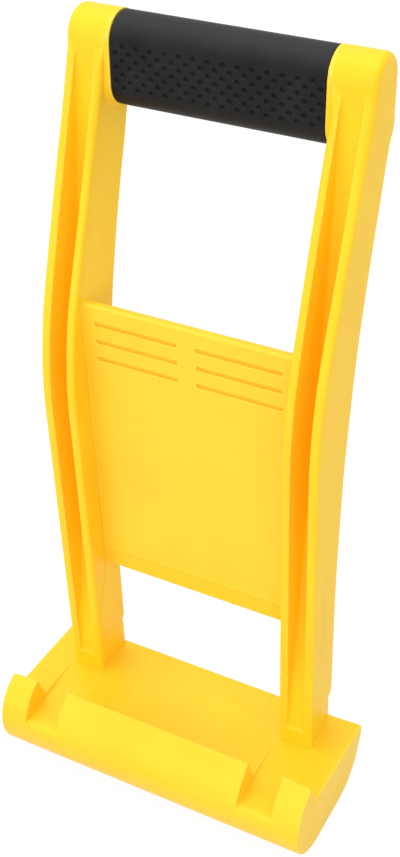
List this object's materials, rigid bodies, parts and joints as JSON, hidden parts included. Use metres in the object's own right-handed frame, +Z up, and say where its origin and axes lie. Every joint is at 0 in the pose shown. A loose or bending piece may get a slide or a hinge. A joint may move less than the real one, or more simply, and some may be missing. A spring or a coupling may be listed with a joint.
{
  "type": "panel carrier",
  "caption": "Hand carrier for sheets of board: a tall plastic frame with a rubber grip, a back panel and a lipped foot that hooks under the sheet.",
  "frame": {"origin": "middle of the whole carrier's outline on the ground plane, at the flat underside of the base", "axes": "+X across the frame to the right as seen from the board side, -Y towards the board, +Z up from the base to the grip"},
  "size_m": [0.16, 0.1, 0.3575],
  "materials": {
    "yellow_plastic": "satin moulded ABS, warm yellow",
    "black_rubber": "matt moulded rubber with small dimples"
  },
  "bodies": {
    "root": {"base": "yellow_plastic", "left_lug": "yellow_plastic", "centre_lug": "yellow_plastic", "right_lug": "yellow_plastic", "left_leg": "yellow_plastic", "right_leg": "yellow_plastic", "left_head": "yellow_plastic", "right_head": "yellow_plastic", "panel": "yellow_plastic", "handle_bar": "yellow_plastic", "grip": "black_rubber"}
  },
  "joints": []
}
